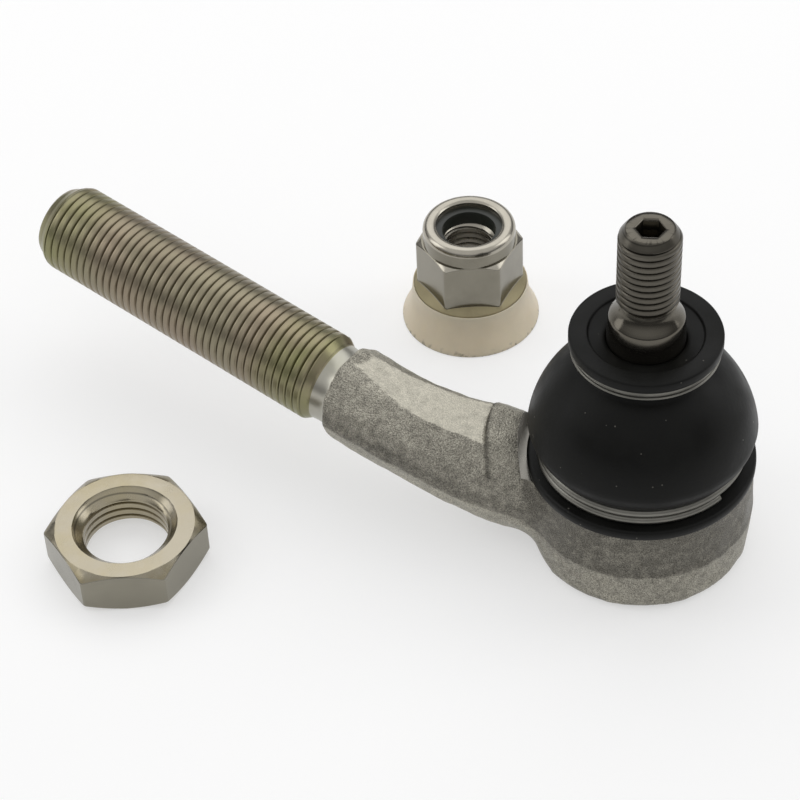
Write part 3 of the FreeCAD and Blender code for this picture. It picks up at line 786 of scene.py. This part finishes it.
class TIE_ROD_OT_housing(bpy.types.Operator):
    """Forged cup and arm with their machined faces, and the rolled M16 shank"""
    bl_idname = "tie_rod.housing"
    bl_label = "Forged housing"

    def execute(self, context):
        settings, shank = context.scene.tie_rod_forging, context.scene.tie_rod_shank
        body = add_piece("Forged_Cup_And_Arm", machine(forge(settings), settings),
                         [forged_steel(), machined_steel()], crease=40)
        start, way = shank_line()
        upright = way.to_track_quat("Z", "X").to_matrix().to_4x4()
        tip, neck, root, radius = shank.tip / MM, shank.neck_radius / MM, shank.root / MM, shank.radius / MM
        angles = round_angles(112)
        foot = 53.9
        rings = [(0, 45.5), (7.5, 45.5), (7.8, 49.3), (7.72, 49.7), (7.45, 50.1), (neck + 0.22, 50.5), (neck, 51.1),
                 (neck, 52.6), (neck + 0.1, 53.5)]
        plain = len(rings)
        cut = ([foot, 55.3, tip - 3.1, tip - 2.3, tip - 1.4, tip - 0.6, tip - 0.2, tip],
               [neck + 0.16, radius, radius, root, 6.98, 6.6, 6.34, 6.0])
        rings += thread(angles, foot, tip, shank.pitch / MM, root, radius, cut, 0.22)
        threaded = len(rings)
        rings += [(1.5, tip), (0, tip - 0.9)]
        mesh = turned_mesh("shank", angles, millimetres(rings), thread_bands(plain, threaded, len(rings)))
        along = values_of(mesh.vertices, "co")[:, 2] / MM
        near_ends = np.maximum(step(along, 69, 58), step(along, tip - 16, tip - 3))
        mark(mesh, "ends", near_ends)
        mesh.transform(Matrix.Translation(start) @ upright)
        neck_steel = plated("Bright neck", (0.40, 0.39, 0.34), (0.37, 0.36, 0.29), (0.44, 0.42, 0.36), 110.0, 0.28,
                            marked=0.05, worn=0.04)
        zinc = plated("Passivated zinc", shank.olive, shank.rose, shaded(shank.rose, 0.82), 48.0, 0.30, oil_and_shade=0.38,
                      marked=0.12, ends=shank.green, depths=0.42)
        piece = add_piece("Threaded_Shank", mesh, [neck_steel, zinc], crease=50)
        for made in (body, piece):
            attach(made, "housing")
        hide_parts("forged_housing")
        return {"FINISHED"}


class TIE_ROD_OT_inner_parts(bpy.types.Operator):
    """Finishes for the seats, the spring and the closing plate inside the cup"""
    bl_idname = "tie_rod.inner_parts"
    bl_label = "Inner parts"

    def execute(self, context):
        seat = plain_plastic("Acetal", (0.80, 0.79, 0.72), 0.4)
        spring = plated("Spring steel", (0.42, 0.42, 0.43), (0.38, 0.38, 0.40), (0.46, 0.44, 0.42), 200.0, 0.3)
        plate = plated("Pressed plate", (0.50, 0.50, 0.47), (0.44, 0.45, 0.40), (0.54, 0.52, 0.46), 160.0, 0.34)
        for node, material, slot in (("upper_seat", seat, "seat"), ("lower_seat", seat, "seat"),
                                     ("preload_spring", spring, "spring"), ("closing_plate", plate, "plate")):
            solid = frame["nodes"][node]
            solid.data.materials.clear()
            solid.data.materials.append(material)
        return {"FINISHED"}


class TIE_ROD_OT_stud(bpy.types.Operator):
    """Ball stud with its taper, rolled M10 thread and hexagon socket"""
    bl_idname = "tie_rod.stud"
    bl_label = "Ball stud"

    def execute(self, context):
        settings = context.scene.tie_rod_stud
        angles = round_angles(96)
        top, root, radius = top_of("ball_stud") / MM, settings.root / MM, settings.radius / MM
        ball, low_flat, neck = (9.5, 12), (5.5, 4.254), (6.2, 19.198)
        rings = [(0, low_flat[1]), low_flat, *arc(low_flat, ball, 9.5, 1), ball, *arc(ball, neck, 9.5, 1), neck]
        rings += [
            (6.2, 25.5), (7.2, 28.3), (7.3, 28.6), (6.12, 49.0), (6.06, 49.2), (5.93, 49.4), (5.6, 49.85),
            (5.2, 50.35), (4.85, 50.85), (4.6, 51.3), (4.42, 51.7)]
        plain = len(rings)
        cut = ([52, 52.9, top - 1.75, top - 1.0, top - 0.15, top], [4.2, radius, radius, 4.55, 3.95, 3.8])
        rings += thread(angles, 52, top, settings.pitch / MM, root, radius, cut, 0.24)
        threaded = len(rings)
        socket = hexagon_radius(angles + TURN / 12, settings.socket / MM)
        rings += [(socket + 0.16, top), (socket, top - 0.14), (socket, top - 3.6), (0, top - 4.7)]
        mesh = turned_mesh("stud", angles, millimetres(rings), thread_bands(plain, threaded, len(rings)))
        steel = settings.steel
        bright = plated("Turned taper", shaded(steel, 1.2), shaded(steel, 1.08), shaded(steel, 1.3), 150.0, 0.13,
                        marked=0.1, worn=0.05)
        rolled = plated("Rolled thread", steel, 0.85, 1.1, 130.0, 0.26, oil_and_shade=0.7)
        piece = add_piece("Ball_Stud_Threaded", mesh, [bright, rolled], crease=50)
        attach(piece, "stud")
        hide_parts("ball_stud")
        return {"FINISHED"}


class TIE_ROD_OT_boot(bpy.types.Operator):
    """Hollow rubber boot round the stud"""
    bl_idname = "tie_rod.boot"
    bl_label = "Dust boot"

    def execute(self, context):
        settings = context.scene.tie_rod_boot
        bulge = settings.bulge_radius / MM
        outline = [
            (14.3, 17.1), (18.45, 17.12), (18.75, 17.25), (18.88, 17.55), (18.9, 18.1), (18.86, 18.65), (18.65, 18.93),
            (18.35, 19.02), (16.2, 19.04), (15.9, 19.12), (15.78, 19.3), (15.75, 20.0), (15.75, 21.6), (15.8, 22.1),
            (15.95, 22.32), (16.3, 22.37), (16.95, 22.38), (17.2, 22.5), (17.36, 22.78)]
        crease = outline[-1]
        outline += arc(crease, (bulge, 26.0), 6.0, 1, 7) + [(bulge, 26.0)]
        outline += arc((bulge, 26.0), (9.75, 39.5), 19.0, 1, 22)
        outline += [
            (9.78, 39.48), (9.66, 39.8), (9.6, 40.3), (9.6, 41.2), (9.6, 42.4), (9.6, 43.3), (9.68, 43.52), (9.9, 43.6),
            (11.0, 43.6), (12.0, 43.61), (12.24, 43.7), (12.34, 43.9), (12.35, 44.5), (12.34, 45.15), (12.24, 45.4),
            (12.02, 45.5), (11.0, 45.5), (9.55, 45.5), (9.36, 45.44), (9.27, 45.28), (9.2, 45.06), (9.02, 45.0),
            (8.2, 44.8), (7.2, 44.55), (6.62, 44.42), (6.5, 44.3), (6.6, 42.6), (6.76, 39.7), (6.86, 39.5)]
        outline += [(8.7, 38.0)]
        outline += arc((8.8, 38.0), (17.15, 26.0), 17.4, -1, 14)
        outline += [(17.15, 26.0), (16.4, 24.6), (14.4, 22.4), (14.3, 22.2), (14.3, 19.8), (14.3, 17.1)]
        mesh = turned_mesh("boot", round_angles(128), millimetres(outline))
        piece = add_piece("Dust_Boot_Rubber", mesh, [rubber()], crease=60)
        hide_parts("dust_boot")
        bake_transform(piece)
        return {"FINISHED"}


class TIE_ROD_OT_rings(bpy.types.Operator):
    """Wire ring in two turns in the lower groove, and flat ring under the flange"""
    bl_idname = "tie_rod.rings"
    bl_label = "Boot rings"

    def execute(self, context):
        settings = context.scene.tie_rod_boot
        steel = plated("Ring steel", settings.wire, 0.85, 1.1, 150.0, 0.32, marked=0.0)
        wire = settings.wire_radius
        low, high = bottom_of("lower_boot_ring") + wire, top_of("lower_boot_ring") - wire
        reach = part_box("lower_boot_ring")[1].x - wire
        way = np.radians(np.arange(-10, -626, -2.5))
        height = low + (high - low) * np.clip((way - math.radians(-245)) / math.radians(-85), 0, 1)
        count, fit = 14, 0.985 * wire
        points = []
        for angle, level in zip(way, height):
            for side in np.arange(count) * TURN / count:
                out, rise = reach + fit * math.cos(side), fit * math.sin(side)
                points.append((out * math.cos(angle), out * math.sin(angle), level + rise))
        mesh = closed_bar("wire", points, count)
        facing_out(mesh)
        coil = add_piece("Lower_Wire_Ring", mesh, [steel])
        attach(coil, "housing")
        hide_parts("lower_boot_ring")
        upper = turned_mesh("upper ring", round_angles(96), millimetres([
            (9.7, 42.0), (11.8, 42.0), (11.95, 42.03), (12.04, 42.12), (12.05, 42.24), (11.97, 42.36), (11.8, 42.42),
            (11.6, 42.46), (11.5, 42.6), (11.5, 43.4), (11.4, 43.5), (9.7, 43.5), (9.7, 42.0)]))
        flat = add_piece("Upper_Flat_Ring", upper, [steel], crease=60)
        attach(flat, "boot_top")
        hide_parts("upper_boot_ring")
        return {"FINISHED"}


def nut_place(node, turned):
    """Where a nut stands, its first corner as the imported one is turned."""
    return Matrix.Translation(middle_of(node)) @ Matrix.Rotation(turned + TURN / 12, 4, "Z")


class TIE_ROD_OT_jam_nut(bpy.types.Operator):
    """Thin M16 jam nut, bevelled and countersunk on both faces"""
    bl_idname = "tie_rod.jam_nut"
    bl_label = "Jam nut"

    def execute(self, context):
        settings = context.scene.tie_rod_nuts
        angles = hexagon_angles()
        high = top_of("jam_nut") / MM
        outer = hexagon_radius(angles, settings.jam_flats / MM, 0.14)
        face, sink, minor, major = 11.7, 8.9, 7.19, 8.02
        fall = (outer - face) * BEVEL
        soft = 0.12
        rings = [
            (sink + soft, 0), (face - soft, 0), (face + soft, 0.04), (outer - soft, fall), (outer, fall + soft),
            (outer, high - fall - soft), (outer - soft, high - fall), (face + soft, high - 0.04),
            (face - soft, high), (sink + soft, high)]
        plain = len(rings)
        depth = sink - minor
        cut = ([0, 0.1, depth, high - depth, high - 0.1, high], [sink, sink - 0.06, minor, minor, sink - 0.06, sink])
        rings += thread(angles, 0, high, 1.5, major, minor, cut, 0.2, inside=True) + [(sink + soft, 0)]
        bands = [0, 0, 2, 1, 1, 1, 2, 0, 0] + [0] * (len(rings) - plain)
        mesh = turned_mesh("jam nut", angles, millimetres(rings), bands, nut_place("jam_nut", settings.turned))
        tone = settings.jam_plating
        zinc = plated("Yellow zinc", tone, 1.1, (0.37, 0.325, 0.22), 60.0, 0.2, oil_and_shade=0.75, marked=0.1)
        # The flats take a darker copy of the zinc: painted shade.
        side = settings.jam_side
        flat = plated("Yellow zinc flats, painted shade", side, 1.1, 0.9, 60.0, 0.16)
        bevel = plated("Olive bevels", shaded(tone, 0.72), (0.25, 0.215, 0.135), shaded(tone, 0.85), 120.0, 0.24)
        piece = add_piece("Jam_Nut_Threaded", mesh, [zinc, flat, bevel], crease=24)
        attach(piece, "jam_nut_loose")
        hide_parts("jam_nut")
        return {"FINISHED"}


class TIE_ROD_OT_lock_nut(bpy.types.Operator):
    """Self-locking M10 nut with its rolled collar, locking ring and plastic cone"""
    bl_idname = "tie_rod.lock_nut"
    bl_label = "Lock nut"

    def execute(self, context):
        settings = context.scene.tie_rod_nuts
        angles = hexagon_angles()
        outer = hexagon_radius(angles, settings.lock_flats / MM, 0.12)
        foot, high = bottom_of("lock_nut") / MM, top_of("lock_nut") / MM + 0.8
        skirt_out, hex_top, face, collar, lip, well, major, minor = 10.3, 17.8, 8.7, 8.4, 7.1, 5.9, 5.02, 4.32
        soft = 0.1
        hex_foot = 8.45 + (9.8 - outer) * 0.35
        fall = np.maximum(outer - face, 0) * BEVEL
        rings = [(5.3, foot), (skirt_out - 0.15, foot), (skirt_out, foot + soft), (skirt_out, 7.72), (10.24, 7.94),
                 (10.08, 8.12), (outer + 0.06, hex_foot - 0.02)]
        skirt = len(rings)
        rings += [
            (outer, hex_foot + 0.1), (outer, hex_top - fall - soft), (outer - soft, hex_top - fall),
            (np.minimum(outer - soft, face), hex_top), (collar + 0.02, hex_top + 0.02), (collar, hex_top + 0.2),
            (collar, high - 1.3), *arc((collar, high - 1.3), (lip, high), 1.3, 1, 8),
            (lip, high), (6.7, high - 0.02), (6.3, high - 0.14), (6.02, high - 0.36), (well, high - 0.7),
            (well, 20.06), (7.4, 20.05), (7.4, 17.4)]
        seat = len(rings)
        cut = ([foot, 7.88, 16.8, 17.4], [5.3, minor, minor, 5.15])
        rings = millimetres(rings + thread(angles, foot, 17.4, 1.25, major, minor, cut, 0.24, inside=True))
        bands = [1] * (skirt - 1) + [3, 3, 3, 0, 3, 3, 3] + [0] * (seat - skirt - 7) + [2] * (len(rings) - seat)
        place = nut_place("lock_nut", settings.turned)
        mesh = turned_mesh("lock nut", angles, rings, bands, place)
        tone = settings.lock_plating
        zinc = plated("Bright zinc", tone, 1.08, 0.86, 80.0, 0.17, oil_and_shade=0.5)
        olive = plated("Olive zinc", settings.skirt, 1.1, 0.85, 90.0, 0.5, metallic=0.55)
        tapped = plated("Tapped thread", shaded(tone, 0.9), shaded(tone, 0.8), tone, 120.0, 0.24, oil_and_shade=0.7, marked=0.0)
        # The flats take a darker copy of the zinc: painted shade.
        side = settings.lock_side
        flat = plated("Bright zinc flats, painted shade", side, 1.1, 0.85, 80.0, 0.15)
        nut = add_piece("Lock_Nut_Threaded", mesh, [zinc, olive, tapped, flat], crease=24)
        insert = turned_mesh("insert", round_angles(96), millimetres([
            (4.75, 17.45), (7.35, 17.4), (7.35, 20.0), (5.1, 20.0), (4.85, 19.9), (4.75, 19.65), (4.75, 17.45)]),
            place=Matrix.Translation(middle_of("lock_nut_insert")))
        ring = add_piece("Locking_Ring", insert, [plain_plastic("Dark polyamide", settings.insert, 0.35)])
        cone_outline = [(11.3, 0), (12.45, 0), (12.57, 0.08), (12.6, 0.3), (12.5, 0.62)]
        cone_outline += arc((12.5, 0.62), (10.72, 6.0), 14.0, -1, 12)
        cone_outline += [
            (10.72, 6.0), (10.6, 7.2), (10.56, 7.62), (10.5, 7.72), (10.4, 7.74), (10.34, 7.66), (10.34, 6.8),
            (6.3, 6.8), (6.3, 5.6), (9.6, 5.6), (9.9, 3.6), (10.4, 1.8), (11.3, 0)]
        cone = add_piece("Dust_Cone", turned_mesh("cone", round_angles(128), millimetres(cone_outline),
                         place=Matrix.Translation(middle_of("nut_dust_cone"))),
                         [plain_plastic("Cream plastic", settings.cone, 0.38, light_through=0.25, dirty_foot=True)])
        for piece, node, slot in ((nut, "lock_nut", "nut_zinc"), (ring, "lock_nut_insert", "insert"),
                                  (cone, "nut_dust_cone", "cone")):
            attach(piece, "lock_nut_loose")
            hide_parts(node)
        return {"FINISHED"}


# Studio.


def seen_from(azimuth, elevation):
    """Direction from the part to a lamp or camera, by the angle round the part and the angle over the table."""
    around, over = math.radians(azimuth), math.radians(elevation)
    return Vector((math.sin(around) * math.cos(over), -math.cos(around) * math.cos(over), math.sin(over)))


def softbox(name, azimuth, elevation, distance, wide, tall, power, aim):
    light = bpy.data.lights.new(name, "AREA")
    light.shape, light.size, light.size_y, light.energy = "RECTANGLE", wide, tall, power
    lamp = linked(name, light)
    back = seen_from(azimuth, elevation)
    lamp.location = aim + back * distance
    lamp.rotation_euler = back.to_track_quat("Z", "Y").to_euler()


class TIE_ROD_OT_studio(bpy.types.Operator):
    """Pale floor, three softboxes, pale air and the camera"""
    bl_idname = "tie_rod.studio"
    bl_label = "Studio"

    def execute(self, context):
        settings = context.scene.tie_rod_stage
        low, high = CAD_BOX
        middle = (low + high) / 2
        flat, curl = 3.2, 0.45
        sweep = [(0, 0), (flat, 0)] + [(flat + curl * math.sin(turn), curl - curl * math.cos(turn))
                                       for turn in np.radians(range(9, 91, 9))]
        centre = Matrix.Translation((middle.x, middle.y, low.z))
        floor_mesh = turned_mesh("floor", round_angles(96), sweep, place=centre)
        floor_mesh.shade_smooth()
        floor = linked("Floor", floor_mesh)
        paper, tree, shader = new_material("Paper", roughness=0.9, specular=0.1)
        fibre = put(tree, "TexNoise", {"Scale": 400.0, "Detail": 2.0})
        tree.links.new(mixed(tree, fibre.outputs["Fac"], shaded(settings.floor, 0.995), settings.floor),
                       shader.inputs["Base Color"])
        path = put(tree, "LightPath").outputs
        seen = calculated(tree, "MAXIMUM", path["Is Camera Ray"], path["Is Glossy Ray"])
        seen = calculated(tree, "MAXIMUM", seen, path["Is Transmission Ray"])
        glow = put(tree, "Emission", {"Strength": calculated(tree, "MULTIPLY", seen, settings.glow)})
        both = put(tree, "AddShader", {0: shader.outputs[0], 1: glow.outputs[0]})
        ends = found(tree, "OUTPUT_MATERIAL")
        tree.links.new(both.outputs[0], ends.inputs["Surface"])
        floor_mesh.materials.append(paper)
        world = bpy.data.worlds.new("Air")
        context.scene.world = world
        world.use_nodes = True
        tree = world.node_tree
        sky = found(tree, "BACKGROUND")
        way = put(tree, "TexCoord").outputs["Generated"]
        rise = put(tree, "SeparateXYZ", {0: way}).outputs["Z"]
        above = ranged(tree, rise, 0.25, 0.62, settings.walls, settings.ceiling)
        below = ranged(tree, rise, -0.02, -0.15, settings.walls, settings.ceiling)
        tree.links.new(calculated(tree, "MAXIMUM", above, below), sky.inputs["Strength"])
        sky.inputs["Color"].default_value = (1, 1, 1, 1)
        aim = Vector((-32.1, -22.8, 31.3)) * MM
        softbox("Left softbox", -62, 30, 0.9, 0.4, 0.7, settings.left, aim)
        softbox("Right softbox", 140, 30, 0.9, 0.4, 0.7, settings.right, aim)
        softbox("Back softbox", 218, 50, 1.0, 1.2, 0.9, settings.back, aim)
        camera_data = bpy.data.cameras.new("Camera")
        camera_data.lens, camera_data.sensor_width = 116.6, 36
        camera_data.clip_start, camera_data.clip_end = 0.01, 10
        camera = linked("Camera", camera_data)
        around, over, roll = 38.16, 44.35, math.radians(-2.86)
        back = seen_from(around, over)
        side = seen_from(around + 90, 0)
        rise = back.cross(side)
        right = side * math.cos(roll) + rise * math.sin(roll)
        up = rise * math.cos(roll) - side * math.sin(roll)
        camera.matrix_world = Matrix.Translation(Vector((153.47, -258.98, 324.91)) * MM) @ Matrix(
            (right, up, back)).transposed().to_4x4()
        context.scene.camera = camera
        context.scene.view_settings.view_transform = "Standard"
        return {"FINISHED"}


class TIE_ROD_PT_panel(bpy.types.Panel):
    """Buttons and settings of the tie rod end"""
    bl_label = "Tie Rod End"
    bl_idname = "TIE_ROD_PT_panel"
    bl_space_type = "VIEW_3D"
    bl_region_type = "UI"
    bl_category = "Tie Rod End"

    def draw(self, context):
        for operator in OPERATORS:
            self.layout.operator(operator.bl_idname)
        for name in SETTINGS:
            settings = getattr(context.scene, name)
            box = self.layout.box()
            for key in settings.__annotations__:
                box.prop(settings, key)


SETTINGS = {
    "tie_rod_forging": ForgingSettings,
    "tie_rod_shank": ShankSettings,
    "tie_rod_stud": StudSettings,
    "tie_rod_boot": BootSettings,
    "tie_rod_nuts": NutSettings,
    "tie_rod_stage": StageSettings,
}
OPERATORS = (
    TIE_ROD_OT_studio,
    TIE_ROD_OT_housing,
    TIE_ROD_OT_inner_parts,
    TIE_ROD_OT_stud,
    TIE_ROD_OT_boot,
    TIE_ROD_OT_rings,
    TIE_ROD_OT_jam_nut,
    TIE_ROD_OT_lock_nut,
)


def register():
    for made in (*SETTINGS.values(), *OPERATORS, TIE_ROD_PT_panel):
        bpy.utils.register_class(made)
    for name, settings in SETTINGS.items():
        setattr(bpy.types.Scene, name, bpy.props.PointerProperty(type=settings))


def unregister():
    for name in SETTINGS:
        delattr(bpy.types.Scene, name)
    for made in (TIE_ROD_PT_panel, *reversed(OPERATORS), *SETTINGS.values()):
        bpy.utils.unregister_class(made)


def main():
    register()
    for operator in OPERATORS:
        group, name = operator.bl_idname.split(".")
        getattr(getattr(bpy.ops, group), name)()


if __name__ == "__main__":
    main()
